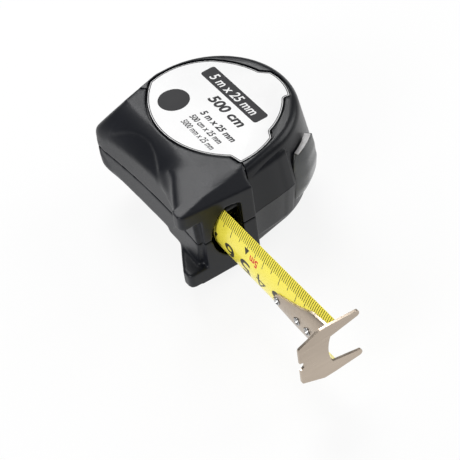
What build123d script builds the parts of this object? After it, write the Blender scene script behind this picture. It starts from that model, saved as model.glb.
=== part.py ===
from build123d import *
from math import cos, radians, sin, tan
import os

os.makedirs("parts", exist_ok=True)

# Frame: +X the way the blade comes out, +Y the top of the case, +Z the label side, which lies up
# Origin on the reel axis, in the plane that the belt clip rests on; sizes in mm
CLIP_T = 1.0
BELT_GAP = 5.2
HALF = 20.0
BACK_Z = CLIP_T + BELT_GAP
MID_Z = BACK_Z + HALF
LABEL_Z = MID_Z + HALF

# Case outline at the parting plane, seen from the label side; the sides lean in by LEAN degrees from there
CASE_R = 36.0
WALL_ANGLE = 12.0
WALL_TOP = (CASE_R * cos(radians(WALL_ANGLE)), CASE_R * sin(radians(WALL_ANGLE)))
WALL_KNEE = (38.6, -8.5)
KNEE_R = 20.0
LEAN = 9.0
RIM_R = 3.6
BASE_FRONT = (46.0, -34.4)
BASE_MID = (4.0, -33.2)
HEEL = (-36.0, -36.4)
HEEL_R = 8.0
HEEL_CUT = (-30.7, -8.4, 19.4)
HEEL_NORMAL = (-0.739, -0.217, 0.638)
HEEL_WALL = 2.6
BOOT_T = 1.8
SHELL_T = 3.4
SEAM = 0.35

# Nose with the blade mouth and the two toe arms
NOSE_X = 40.0
NOSE_TOP = -8.6
TOE_Y = -40.0
ARM_IN = 11.8
TOE_Z = 18.2
BEVEL_AT = (NOSE_X, -9.0, 15.4)
BEVEL_NORMAL = (0.572, 0.071, 0.817)
NOSE_REAR = 14.5
MOUTH_TOP = -14.5
MOUTH_LOW = -28.1
LEAF_DEPTH = 0.7

# Seam between the hard shell and the rubber boot
SEAM_LINE = [(-60, -26), (-36.5, -19.5), (-26.5, -12.5), (29.5, -6.6), (37.4, NOSE_TOP), (60, NOSE_TOP)]

# Label plate in its recess
LABEL_T = 1.1
LABEL_GAP = 0.6

# Blade, as the arc of its cross-section
BLADE_W = 25.0
BLADE_T = 0.22
BLADE_R = 16.56
BLADE_Y = -26.0
BLADE_TAIL = 38.0
HOOK_X = 107.8
PLATE_T = 1.0
TAB_T = 0.8
TAB_END = 75.6
FLOAT = 1.0
RIVET_BACK = (10.6, 16.6, 28.7)
RIVET_R = 0.9
RIVET_STEPS = [(-27.75, -26.86, 1.6), (-26.86, -25.62, RIVET_R), (-25.62, -25.1, 1.5)]

# Reel
PACK_R = 20.2
DRUM_R = 13.0
DRUM_T = 1.2
FLANGE_R = 22.4
FLANGE_T = 1.2
FLANGE_Z = 12.7
SPINDLE_R = 3.5
RUN_GAP = 0.05

# Lock on the round of the case, in degrees about the reel axis
LOCK_FROM = 21.0
LOCK_TO = 46.0
LOCK_HALF = 10.6
LOCK_R = 39.0
LOCK_GAP = 0.35
NECK = (29.0, 34.0)
WINDOW = (28.3, 44.2)
ARM_R = (29.6, 31.2)
ARM_END = -40.0
SHOE_END = -47.4
SHOULDER = (9.5, 20.2)
SHOULDER_R = 36.9
SHOULDER_HALF = 14.5

# Fixings
SCREWS = [(-26.0, -7.3), (-17.9, 20.3), (14.1, 23.1)]
CLIP_SCREW = (0.0, 20.0)
SCREW_R = 1.4
SCREW_LEN = 30.0
HEAD_R = 2.6
HEAD_DEPTH = 2.4
POST_R = 2.7
POST_Z = 16.8
BOSS_R = 6.0
BOSS_Z = 14.45
SPINDLE_Z = 18.4
WASHER_T = 0.5
CLIP_W = 20.0


def slab(z0, z1):
    """Wide block between two heights, to keep one half of the case."""
    with BuildPart() as block:
        with BuildSketch(Plane.XY.offset(z0)):
            Rectangle(400, 400)
        extrude(amount=z1 - z0)
    return block.part


def beyond(at, normal, inset, side):
    """Wide block outside a sloping plane that is drawn in by an inset; side picks the label or the back."""
    x, y, z = (p - inset * n for p, n in zip(at, normal))
    slope = Plane((x, y, MID_Z + side * z), z_dir=(normal[0], normal[1], side * normal[2]))
    with BuildPart() as waste:
        with BuildSketch(slope):
            Rectangle(200, 200)
        extrude(amount=40)
    return waste.part


def leaning_body(inset):
    """Drum and front wall, with sides that lean in from the parting plane and a round rim."""
    with BuildPart() as body:
        with BuildSketch(Plane.XY.offset(MID_Z)) as outline:
            with BuildLine():
                Polyline(WALL_TOP, WALL_KNEE, (WALL_KNEE[0], -60), (-CASE_R, -60), (-CASE_R, 0))
                ThreePointArc((-CASE_R, 0), (0, CASE_R), WALL_TOP)
            make_face()
            fillet(outline.vertices().sort_by_distance((*WALL_KNEE, 0))[0], KNEE_R)
            if inset > 0:
                offset(amount=-inset, kind=Kind.INTERSECTION, mode=Mode.REPLACE)
        extrude(amount=HALF - inset, taper=LEAN)
        if inset == 0:
            rim = body.faces().sort_by(lambda f: abs(f.center().Z - MID_Z))[-1].edges()
            fillet(rim.filter_by(lambda e: e.center().Y > -50), RIM_R)
        mirror(about=Plane.XY.offset(MID_Z))
    return body.part


def main_body(inset):
    """Case without its nose, drawn in by an inset: leaning drum, base line with the heel, and base slope."""
    leaning = leaning_body(inset)
    corners = [beyond(HEEL_CUT, HEEL_NORMAL, min(inset, HEEL_WALL), side) for side in (1, -1)]
    with BuildPart() as body:
        with BuildSketch(Plane.XY.offset(BACK_Z - 5)) as outline:
            with BuildLine():
                ThreePointArc(BASE_FRONT, BASE_MID, HEEL)
                Polyline(HEEL, (-37.6, 45), (BASE_FRONT[0], 45), BASE_FRONT)
            make_face()
            fillet(outline.vertices().sort_by_distance((*HEEL, 0))[0], HEEL_R)
            if inset > 0:
                offset(amount=-inset, kind=Kind.INTERSECTION, mode=Mode.REPLACE)
        extrude(amount=2 * HALF + 10)
        # Base side: a slope off the label face, then the steeper grip face
        with BuildSketch(Plane.YZ.offset(-80)):
            with BuildLine():
                ThreePointArc((-13.6, MID_Z + 20.6), (-24.6, MID_Z + 18.9), (-31.4, MID_Z + 14.0))
                ThreePointArc((-31.4, MID_Z + 14.0), (-37.0, MID_Z), (-31.4, MID_Z - 14.0))
                ThreePointArc((-31.4, MID_Z - 14.0), (-24.6, MID_Z - 18.9), (-13.6, MID_Z - 20.6))
                Polyline((-13.6, MID_Z - 20.6), (60, MID_Z - 24), (60, MID_Z + 24), (-13.6, MID_Z + 20.6))
            make_face()
            if inset > 0:
                offset(amount=-inset, kind=Kind.INTERSECTION, mode=Mode.REPLACE)
        extrude(amount=160, mode=Mode.INTERSECT)
        add(leaning, mode=Mode.INTERSECT)
        # The heel's rear corners fall away on both sides
        for corner in corners:
            add(corner, mode=Mode.SUBTRACT)
    return body.part


def nose_body(inset, toe):
    """Nose in front of the case; toe adds the two arms that reach below the base."""
    bevel = beyond(BEVEL_AT, BEVEL_NORMAL, inset, 1)
    with BuildPart() as nose:
        with BuildSketch(Plane.XY.offset(BACK_Z)):
            with BuildLine():
                if toe:
                    Polyline((NOSE_REAR, -29.5), (27.5, NOSE_TOP), (NOSE_X, NOSE_TOP), (NOSE_X, TOE_Y + 1.8))
                    ThreePointArc((NOSE_X, TOE_Y + 1.8), (NOSE_X - 0.6, TOE_Y + 0.5), (NOSE_X - 2, TOE_Y))
                    Line((NOSE_X - 2, TOE_Y), (NOSE_X - 4.6, TOE_Y))
                    ThreePointArc((NOSE_X - 4.6, TOE_Y), (28.6, -36.4), (21.5, -32.3))
                    ThreePointArc((21.5, -32.3), (18.2, -30.4), (NOSE_REAR, -29.5))
                else:
                    rear, front = (NOSE_REAR, -32), (NOSE_X, -31.4)
                    Polyline(rear, (27.5, NOSE_TOP), (NOSE_X, NOSE_TOP), front, rear)
            make_face()
            if inset > 0:
                offset(amount=-inset, kind=Kind.INTERSECTION, mode=Mode.REPLACE)
        extrude(amount=2 * HALF)
        # Deck falls a little to the front, and a slanted bevel runs from the toe tip to the wall
        with BuildSketch(Plane.XZ.offset(-30)):
            deck = [(0, HALF), (24, HALF), (NOSE_X + 2, HALF - 1)]
            Polygon(
                *[(x, MID_Z + z - inset) for x, z in deck],
                *[(x, MID_Z - z + inset) for x, z in reversed(deck)],
                align=None,
            )
        extrude(amount=120, mode=Mode.INTERSECT)
        add(bevel, mode=Mode.SUBTRACT)
        # Flanks lean in towards the base and the toe
        with BuildSketch(Plane.YZ.offset(-10)):
            Polygon(
                *[(60, MID_Z + HALF), (-20, MID_Z + HALF), (-31, MID_Z + 19), (-42, MID_Z + TOE_Z)],
                *[(-42, MID_Z - TOE_Z), (-31, MID_Z - 19), (-20, MID_Z - HALF), (60, MID_Z - HALF)],
                align=None,
            )
            if inset > 0:
                offset(amount=-inset, kind=Kind.INTERSECTION, mode=Mode.REPLACE)
        extrude(amount=90, mode=Mode.INTERSECT)
        if toe:
            # Finger recess between the arms, open to the front and the base
            with BuildSketch(Plane.XY.offset(MID_Z - ARM_IN)):
                Polygon((5, -60), (5, -32.2), (14, -32.2), (NOSE_X + 5, -31.4), (NOSE_X + 5, -60), align=None)
            extrude(amount=2 * ARM_IN, mode=Mode.SUBTRACT)
    return nose.part


def label_face(grow):
    """Outline of the label plate as a sketch on the label side, grown by a gap."""
    with BuildSketch(Plane.XY) as face:
        with BuildLine():
            ThreePointArc((-29.0, -9.0), (0.0, -20.8), (25.7, -8.4))
            Line((25.7, -8.4), (31.0, -7.4))
            ThreePointArc((31.0, -7.4), (30.3, 1.5), (27.4, 9.1))
            Line((27.4, 9.1), (23.9, 10.7))
            ThreePointArc((23.9, 10.7), (19.5, 18.4), (12.2, 25.1))
            Line((12.2, 25.1), (12.8, 27.6))
            ThreePointArc((12.8, 27.6), (5.0, 30.0), (-3.1, 29.6))
            Line((-3.1, 29.6), (-6.6, 26.4))
            ThreePointArc((-6.6, 26.4), (-16.4, 22.2), (-24.2, 16.0))
            ThreePointArc((-24.2, 16.0), (-30.2, 1.5), (-29.0, -9.0))
        make_face()
        fillet(face.vertices().filter_by(lambda v: v.X > -20), 0.9)
        if grow > 0:
            offset(amount=grow, mode=Mode.REPLACE)
    return face.sketch


def block(outline, z0, z1):
    """Prism of an outline in X and Y between two heights."""
    with BuildPart() as prism:
        with BuildSketch(Plane.XY.offset(z0)):
            add(outline)
        extrude(amount=z1 - z0)
    return prism.part


def ring_sector(radii, angles, half):
    """Part of a ring about the reel axis, between two radii and two angles, to half its width each way."""
    reach = [(2 * CASE_R * cos(radians(a)), 2 * CASE_R * sin(radians(a))) for a in angles]
    with BuildPart() as sector:
        with BuildSketch(Plane.XY.offset(MID_Z - half)):
            Circle(radii[1])
            Circle(radii[0], mode=Mode.SUBTRACT)
            Polygon((0, 0), *reach, align=None, mode=Mode.INTERSECT)
        extrude(amount=2 * half)
    return sector.part


def round_about(profile, angles):
    """Closed outline in radius and height, swept about the reel axis between two angles."""
    turn = radians(angles[0])
    start = Plane((0, 0, MID_Z), (cos(turn), sin(turn), 0), (sin(turn), -cos(turn), 0))
    with BuildPart() as swept:
        with BuildSketch(start):
            Polygon(*profile, align=None)
        revolve(axis=Axis((0, 0, MID_Z), (0, 0, 1)), revolution_arc=angles[1] - angles[0])
    return swept.part


def lean_at(z):
    """How far the case's side leans in at a height off the parting plane."""
    return abs(z) * tan(radians(LEAN))


# Bodies that the shells and boots are cut from
label_cut = block(label_face(LABEL_GAP), LABEL_Z - LABEL_T - 0.25, LABEL_Z + 5)
outer = main_body(0) + nose_body(0, True) - label_cut
core = main_body(BOOT_T) + nose_body(BOOT_T, False)
cavity = main_body(SHELL_T)

with BuildSketch(Plane.XY) as boot_zone:
    Polygon(*SEAM_LINE, (60, -60), (-60, -60), align=None)
boot_mask = block(boot_zone.sketch, BACK_Z - 5, LABEL_Z + 5)
with BuildSketch(Plane.XY) as seam_zone:
    add(boot_zone.sketch)
    offset(amount=SEAM, mode=Mode.REPLACE)
seam_mask = block(seam_zone.sketch, BACK_Z - 5, LABEL_Z + 5)
label_tall = block(label_face(LABEL_GAP), MID_Z + 5, LABEL_Z + 5)

# Mouth: a slot with a curved lower lip, and the room in front of the brake
with BuildPart() as mouth_cut:
    with BuildSketch(Plane.YZ.offset(18)):
        with BuildLine():
            ThreePointArc((MOUTH_TOP - 6, MID_Z - 12.4), (MOUTH_LOW, MID_Z), (MOUTH_TOP - 6, MID_Z + 12.4))
            Polyline(
                (MOUTH_TOP - 6, MID_Z + 12.4),
                (MOUTH_TOP, MID_Z + 11),
                (MOUTH_TOP, MID_Z - 11),
                (MOUTH_TOP - 6, MID_Z - 12.4),
            )
        make_face()
    extrude(amount=30)

# Lock: window for the slider's neck, and the raised shoulder that the slider meets
window = ring_sector((28, 38), WINDOW, 5.0)
ledge = SHOULDER_R - lean_at(SHOULDER_HALF)
ridge = [(34, -SHOULDER_HALF), (ledge, -SHOULDER_HALF), (SHOULDER_R, 0), (ledge, SHOULDER_HALF)]
shoulder = round_about(ridge + [(34, SHOULDER_HALF)], SHOULDER)


def shell_half(z0, z1):
    """One half of the hard case: full size above the seam, a core under the boot."""
    with BuildPart() as half:
        add(outer)
        add(seam_mask, mode=Mode.SUBTRACT)
        add(core)
        add(cavity, mode=Mode.SUBTRACT)
        with BuildSketch(Plane.XY.offset(MID_Z - POST_Z)):
            with Locations(*SCREWS):
                Circle(POST_R)
        extrude(amount=2 * POST_Z)
        for low, high in ((BACK_Z + 2, MID_Z - BOSS_Z), (MID_Z + BOSS_Z, LABEL_Z - 2)):
            with BuildSketch(Plane.XY.offset(low)):
                Circle(BOSS_R)
            extrude(amount=high - low)
        with BuildSketch(Plane.XY.offset(MID_Z - SPINDLE_Z)):
            Circle(SPINDLE_R)
        extrude(amount=2 * SPINDLE_Z, mode=Mode.SUBTRACT)
        add(shoulder)
        for cut in (mouth_cut.part, window):
            add(cut, mode=Mode.SUBTRACT)
        with BuildSketch(Plane.XY.offset(BACK_Z - 1)):
            with Locations(*SCREWS):
                Circle(SCREW_R)
        extrude(amount=SCREW_LEN + 2, mode=Mode.SUBTRACT)
        add(slab(z0, z1), mode=Mode.INTERSECT)
    return half.part


def boot_half(z0, z1):
    """One half of the rubber boot round the base, the heel and the nose."""
    with BuildPart() as half:
        add(outer)
        add(boot_mask, mode=Mode.INTERSECT)
        add(core, mode=Mode.SUBTRACT)
        add(cavity, mode=Mode.SUBTRACT)
        add(label_tall, mode=Mode.SUBTRACT)
        add(mouth_cut.part, mode=Mode.SUBTRACT)
        # Leaf-shaped grip panel, let into the base and the heel
        add(leaf_cut, mode=Mode.SUBTRACT)
        add(slab(z0, z1), mode=Mode.INTERSECT)
    return half.part


with BuildPart() as leaf:
    with BuildSketch(Plane.XZ.offset(20)):
        with BuildLine():
            ThreePointArc((-31, MID_Z), (-3.8, MID_Z + 18), (23.4, MID_Z))
            ThreePointArc((23.4, MID_Z), (-3.8, MID_Z - 18), (-31, MID_Z))
        make_face()
    extrude(amount=30)
    add(main_body(LEAF_DEPTH), mode=Mode.SUBTRACT)
leaf_cut = leaf.part

front_part = shell_half(MID_Z, LABEL_Z + 5)
with BuildPart() as front_shell:
    add(front_part)
back_part = shell_half(BACK_Z - 5, MID_Z)
with BuildPart() as back_shell:
    add(back_part)
    # Sunk seats for the screw heads, and the boss that takes the clip's screw
    with BuildSketch(Plane.XY.offset(BACK_Z)):
        with Locations(*SCREWS):
            Circle(HEAD_R + 0.3)
    extrude(amount=HEAD_DEPTH, mode=Mode.SUBTRACT)
    with BuildSketch(Plane.XY.offset(BACK_Z + 2)):
        with Locations(CLIP_SCREW):
            Circle(3.4)
    extrude(amount=3.6)
    with BuildSketch(Plane.XY.offset(BACK_Z)):
        with Locations(CLIP_SCREW):
            Circle(SCREW_R)
    extrude(amount=5, mode=Mode.SUBTRACT)
front_boot_part = boot_half(MID_Z, LABEL_Z + 5)
with BuildPart() as front_boot:
    add(front_boot_part)
back_boot_part = boot_half(BACK_Z - 5, MID_Z)
with BuildPart() as back_boot:
    add(back_boot_part)

with BuildPart() as label_plate:
    with BuildSketch(Plane.XY.offset(LABEL_Z - LABEL_T - 0.25)):
        add(label_face(0))
    extrude(amount=LABEL_T)
    chamfer(label_plate.edges().group_by(Axis.Z)[-1], 0.35)

# Reel: fixed spindle, spring, drum with one flange, cover with the other
with BuildPart() as spindle:
    with BuildSketch(Plane.XY.offset(MID_Z - SPINDLE_Z)):
        Circle(SPINDLE_R)
    extrude(amount=2 * SPINDLE_Z)
    with BuildSketch(Plane.XY.offset(MID_Z - 12)):
        with Locations((SPINDLE_R / 2, 0)):
            Rectangle(SPINDLE_R, 0.8)
    extrude(amount=24, mode=Mode.SUBTRACT)


def spiral_face(radius, pitch, thick, turns):
    """Closed outline of a strip wound in half turns about two centres."""
    with BuildSketch(Plane.XY) as strip:
        with BuildLine():
            outs = []
            for wall in (0.0, thick):
                arcs = []
                for k in range(2 * turns):
                    side = 1 if k % 2 == 0 else -1
                    cx = 0.0 if k % 2 == 0 else pitch / 2
                    r = radius + k * pitch / 2 + wall
                    arcs.append(((cx + side * r, 0), (cx, side * r), (cx - side * r, 0)))
                outs.append(arcs)
            for arcs in outs:
                for a, b, c in arcs:
                    ThreePointArc(a, b, c)
            Line(outs[0][0][0], outs[1][0][0])
            Line(outs[0][-1][2], outs[1][-1][2])
        make_face()
    return strip.sketch


with BuildPart() as power_spring:
    with BuildSketch(Plane.XY.offset(MID_Z - 11.5)):
        add(spiral_face(SPINDLE_R + 0.4, 1.2, 0.4, 6))
    extrude(amount=23)

with BuildPart() as reel_drum:
    with BuildSketch(Plane.XY.offset(MID_Z - FLANGE_Z)):
        Circle(DRUM_R)
        Circle(DRUM_R - DRUM_T, mode=Mode.SUBTRACT)
    extrude(amount=2 * FLANGE_Z)
    with BuildSketch(Plane.XY.offset(MID_Z - FLANGE_Z - FLANGE_T)):
        Circle(FLANGE_R)
        Circle(SPINDLE_R + RUN_GAP, mode=Mode.SUBTRACT)
        with PolarLocations(17.4, 6):
            Circle(3.0, mode=Mode.SUBTRACT)
    extrude(amount=FLANGE_T)
    with BuildSketch(Plane.XY.offset(MID_Z - 8)):
        with Locations((0, -DRUM_R + DRUM_T / 2)):
            Rectangle(4.0, 3.0)
    extrude(amount=16, mode=Mode.SUBTRACT)

with BuildPart() as reel_cover:
    with BuildSketch(Plane.XY.offset(MID_Z + FLANGE_Z)):
        Circle(FLANGE_R)
        Circle(SPINDLE_R + RUN_GAP, mode=Mode.SUBTRACT)
        with PolarLocations(17.4, 6):
            Circle(3.0, mode=Mode.SUBTRACT)
    extrude(amount=FLANGE_T)

with BuildPart() as blade_anchor:
    with BuildSketch(Plane.XY.offset(MID_Z - 7.5)):
        with Locations((0, -DRUM_R + 0.75)):
            Rectangle(3.4, 1.1)
    extrude(amount=15)

with BuildPart() as blade_pack:
    with BuildSketch(Plane.XY.offset(MID_Z - BLADE_W / 2 + 0.1)):
        Circle(PACK_R)
        Circle(DRUM_R + 0.02, mode=Mode.SUBTRACT)
    extrude(amount=BLADE_W - 0.2)

with BuildPart() as reel_washers:
    for low in (MID_Z - FLANGE_Z - FLANGE_T - WASHER_T, MID_Z + FLANGE_Z + FLANGE_T + 0.02):
        with BuildSketch(Plane.XY.offset(low)):
            Circle(6.5)
            Circle(SPINDLE_R + RUN_GAP, mode=Mode.SUBTRACT)
        extrude(amount=WASHER_T - 0.02)


def blade_section(x, radius, y):
    """Cross-section of the blade at x, as a curved strip of full width on an arc."""
    turn = BLADE_W / 2 / radius
    centre = y + radius

    def on_arc(r, a):
        """Point on the arc of radius r at an angle off the middle."""
        return (centre - r * cos(a), MID_Z + r * sin(a))

    inner = radius - BLADE_T
    with BuildSketch(Plane.YZ.offset(x)) as section:
        with BuildLine():
            ThreePointArc(on_arc(radius, -turn), on_arc(radius, 0), on_arc(radius, turn))
            Line(on_arc(radius, turn), on_arc(inner, turn))
            ThreePointArc(on_arc(inner, turn), on_arc(inner, 0), on_arc(inner, -turn))
            Line(on_arc(inner, -turn), on_arc(radius, -turn))
        make_face()
    return section.sketch


with BuildPart() as blade_feed:
    with BuildSketch(Plane.XY.offset(MID_Z - BLADE_W / 2)):
        Circle(PACK_R + 0.3 + BLADE_T)
        Circle(PACK_R + 0.3, mode=Mode.SUBTRACT)
        Polygon((0, 0), (-60, 0), (-60, -60), (0, -60), align=None, mode=Mode.INTERSECT)
    extrude(amount=BLADE_W)
    add(blade_section(0, 400, -PACK_R - 0.3 - BLADE_T))
    add(blade_section(20, 26, BLADE_Y + 2.2))
    add(blade_section(BLADE_TAIL - 0.3, BLADE_R, BLADE_Y))
    loft()

with BuildPart() as blade_strip:
    add(blade_section(BLADE_TAIL, BLADE_R, BLADE_Y))
    extrude(amount=HOOK_X - 0.4 - BLADE_TAIL, dir=(1, 0, 0))
    with BuildSketch(Plane.XZ.offset(20)):
        with Locations(*[(HOOK_X - back, MID_Z) for back in RIVET_BACK]):
            Circle(RIVET_R + 0.02)
    extrude(amount=10, mode=Mode.SUBTRACT)

# Hook: plate across the blade's end, tab along its outer side with slots for the float
with BuildPart() as hook:
    with BuildSketch(Plane.YZ.offset(70)):
        with Locations((BLADE_Y + BLADE_R, MID_Z)):
            Circle(BLADE_R + 0.03 + TAB_T)
            Circle(BLADE_R + 0.03, mode=Mode.SUBTRACT)
        with Locations((BLADE_Y, MID_Z)):
            Rectangle(14, 21, mode=Mode.INTERSECT)
    extrude(amount=HOOK_X + 0.5 - 70)
    with BuildSketch(Plane.XZ.offset(20)):
        with BuildLine():
            edge = [(TAB_END + 3, 3.0), (86.7, 5.1), (92.1, 6.6), (97.6, 8.5), (HOOK_X + 1, 9.2)]
            far = [(x, MID_Z + z) for x, z in edge]
            near = [(x, MID_Z - z) for x, z in edge]
            Polyline(*far, *reversed(near))
            ThreePointArc(near[0], (TAB_END, MID_Z), far[0])
        make_face()
    extrude(amount=30, mode=Mode.INTERSECT)
    with BuildSketch(Plane.XZ.offset(20)):
        with Locations(*[(HOOK_X - back - FLOAT / 2, MID_Z) for back in RIVET_BACK]):
            SlotOverall(2 * RIVET_R + FLOAT + 0.3, 2 * RIVET_R + 0.3)
    extrude(amount=12, mode=Mode.SUBTRACT)
    with BuildSketch(Plane.YZ.offset(HOOK_X)) as plate:
        half = [(-11.9, 1.7), (-11.9, 8.7), (-2.6, 12.4), (2, 12.3), (13.5, 11.4), (13.5, 9.0), (1.2, 6.5)]
        upper = [(BLADE_Y + t, MID_Z + z) for t, z in half]
        lower = [(BLADE_Y + t, MID_Z - z) for t, z in reversed(half)]
        with BuildLine():
            Polyline(*upper)
            ThreePointArc(upper[-1], (BLADE_Y - 0.1, MID_Z), lower[0])
            Polyline(*lower)
            ThreePointArc(lower[-1], (BLADE_Y - 10.0, MID_Z), upper[0])
        make_face()
        ends = plate.vertices().filter_by(lambda v: v.X > BLADE_Y + 10 or abs(v.Y - MID_Z) > 8.5)
        fillet(ends, 1.2)
    extrude(amount=PLATE_T)

with BuildPart() as hook_rivets:
    for back in RIVET_BACK:
        for y0, y1, r in RIVET_STEPS:
            with BuildSketch(Plane.XZ.offset(-y1)):
                with Locations((HOOK_X - back, MID_Z)):
                    Circle(r)
            extrude(amount=y1 - y0)

# Posts in the mouth that keep the blade's edges down
with BuildPart() as guide_posts:
    with BuildSketch(Plane.XZ.offset(-MOUTH_TOP)):
        with Locations((36.5, MID_Z + 8.2), (36.5, MID_Z - 8.2)):
            Circle(1.3)
    extrude(amount=5.2)

# Lock: crowned thumb slider on the round of the case, the arm inside it and the shoe over the blade
foot = CASE_R + LOCK_GAP
edge = foot - lean_at(LOCK_HALF)
pad_profile = [(foot, 0), (edge, LOCK_HALF), (LOCK_R - 2.6, LOCK_HALF), (LOCK_R - 0.7, 6), (LOCK_R, 0)]
pad_profile += [(LOCK_R - 0.7, -6), (LOCK_R - 2.6, -LOCK_HALF), (edge, -LOCK_HALF)]
pad = round_about(pad_profile, (LOCK_FROM, LOCK_TO))
neck = ring_sector((ARM_R[1], foot + 0.8), NECK, 4.5)
with BuildPart() as lock_slider:
    add(pad)
    add(neck)
arm = ring_sector(ARM_R, (ARM_END, NECK[1]), 4.5)
with BuildPart() as brake_arm:
    add(arm)
shoe = ring_sector((ARM_R[0] - 0.2, ARM_R[1] + 0.3), (SHOE_END, ARM_END - 0.05), 4.0)
with BuildPart() as brake_shoe:
    add(shoe)

with BuildPart() as case_screws:
    for x, y in SCREWS:
        with BuildSketch(Plane.XY.offset(BACK_Z + 0.4)):
            with Locations((x, y)):
                Circle(HEAD_R)
        extrude(amount=HEAD_DEPTH - 0.4)
        with BuildSketch(Plane.XY.offset(BACK_Z + HEAD_DEPTH)):
            with Locations((x, y)):
                Circle(SCREW_R)
        extrude(amount=SCREW_LEN - HEAD_DEPTH)

# Belt clip: bent strip, screwed down at its top end, open towards the base
with BuildPart() as belt_clip:
    with BuildSketch(Plane.YZ.offset(-CLIP_W / 2)):
        Polygon(
            *[(26.5, BACK_Z - CLIP_T), (14.0, BACK_Z - CLIP_T), (9.6, 0), (-19, 0), (-22, 0.6), (-24.5, 0.1)],
            *[(-24.5, 0.1 + CLIP_T), (-22, 0.6 + CLIP_T), (-19, CLIP_T), (10.2, CLIP_T)],
            *[(14.6, BACK_Z), (26.5, BACK_Z)],
            align=None,
        )
    extrude(amount=CLIP_W)
    with BuildSketch(Plane.XY.offset(BACK_Z - 3)):
        with Locations(CLIP_SCREW):
            Circle(SCREW_R + 0.2)
    extrude(amount=4, mode=Mode.SUBTRACT)

with BuildPart() as clip_screw:
    with BuildSketch(Plane.XY.offset(BACK_Z - CLIP_T - 1.4)):
        with Locations(CLIP_SCREW):
            Circle(HEAD_R)
    extrude(amount=1.4)
    with BuildSketch(Plane.XY.offset(BACK_Z - CLIP_T)):
        with Locations(CLIP_SCREW):
            Circle(SCREW_R)
    extrude(amount=5.5)

nodes = {
    "front_shell": front_shell, "back_shell": back_shell, "front_boot": front_boot, "back_boot": back_boot,
    "label_plate": label_plate, "spindle": spindle, "power_spring": power_spring, "reel_drum": reel_drum,
    "reel_cover": reel_cover, "blade_anchor": blade_anchor, "blade_pack": blade_pack,
    "reel_washers": reel_washers, "blade_feed": blade_feed, "blade_strip": blade_strip, "hook": hook,
    "hook_rivets": hook_rivets, "guide_posts": guide_posts, "lock_slider": lock_slider,
    "brake_arm": brake_arm, "brake_shoe": brake_shoe, "case_screws": case_screws, "belt_clip": belt_clip,
    "clip_screw": clip_screw,
}
for name, node in nodes.items():
    node.part.label = name
    export_step(node.part, f"parts/{name}.step")
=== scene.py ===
"""Looks of a pocket tape measure that lies on its back with its blade pulled a little way out."""

import logging
import math
from dataclasses import dataclass
from enum import Enum

import bmesh
import bpy
from mathutils import Matrix, Vector
from mathutils.bvhtree import BVHTree


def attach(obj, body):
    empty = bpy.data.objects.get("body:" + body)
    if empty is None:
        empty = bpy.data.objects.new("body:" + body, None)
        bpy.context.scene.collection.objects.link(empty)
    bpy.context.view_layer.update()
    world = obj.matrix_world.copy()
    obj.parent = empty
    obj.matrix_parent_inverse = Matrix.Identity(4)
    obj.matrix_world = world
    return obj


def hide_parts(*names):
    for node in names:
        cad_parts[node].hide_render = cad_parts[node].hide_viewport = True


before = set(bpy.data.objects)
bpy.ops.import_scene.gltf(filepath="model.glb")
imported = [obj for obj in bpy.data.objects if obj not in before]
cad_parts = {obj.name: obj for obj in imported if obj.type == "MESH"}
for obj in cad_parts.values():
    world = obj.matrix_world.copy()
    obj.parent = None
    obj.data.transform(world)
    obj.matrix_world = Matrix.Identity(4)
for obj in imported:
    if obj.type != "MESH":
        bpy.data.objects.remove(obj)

LOG = logging.getLogger("tape_measure")
MM = 0.001
MID_Z = 26.2 * MM
LABEL_TOP = 45.95 * MM
BACK_Z = 6.2 * MM
MERGE = 0.002 * MM
FONT_MERGE = 0.0001
FLAT_ANGLE = math.radians(2)
SHARP_ANGLE = math.radians(40)
NOISE_MIDDLE = (0.3, 0.7)

Colour = tuple[float, float, float]
Point = tuple[float, float, float]
Profile = tuple[tuple[float, float], ...]


class Body(Enum):
    """The bodies that a piece can ride on."""

    CASE = "case"
    BLADE = "blade"
    HOOK = "hook"
    LOCK = "lock"


class Side(Enum):
    """The two faces of the blade, as the sign of the step off its steel."""

    OUTER = 1
    INNER = -1


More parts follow.
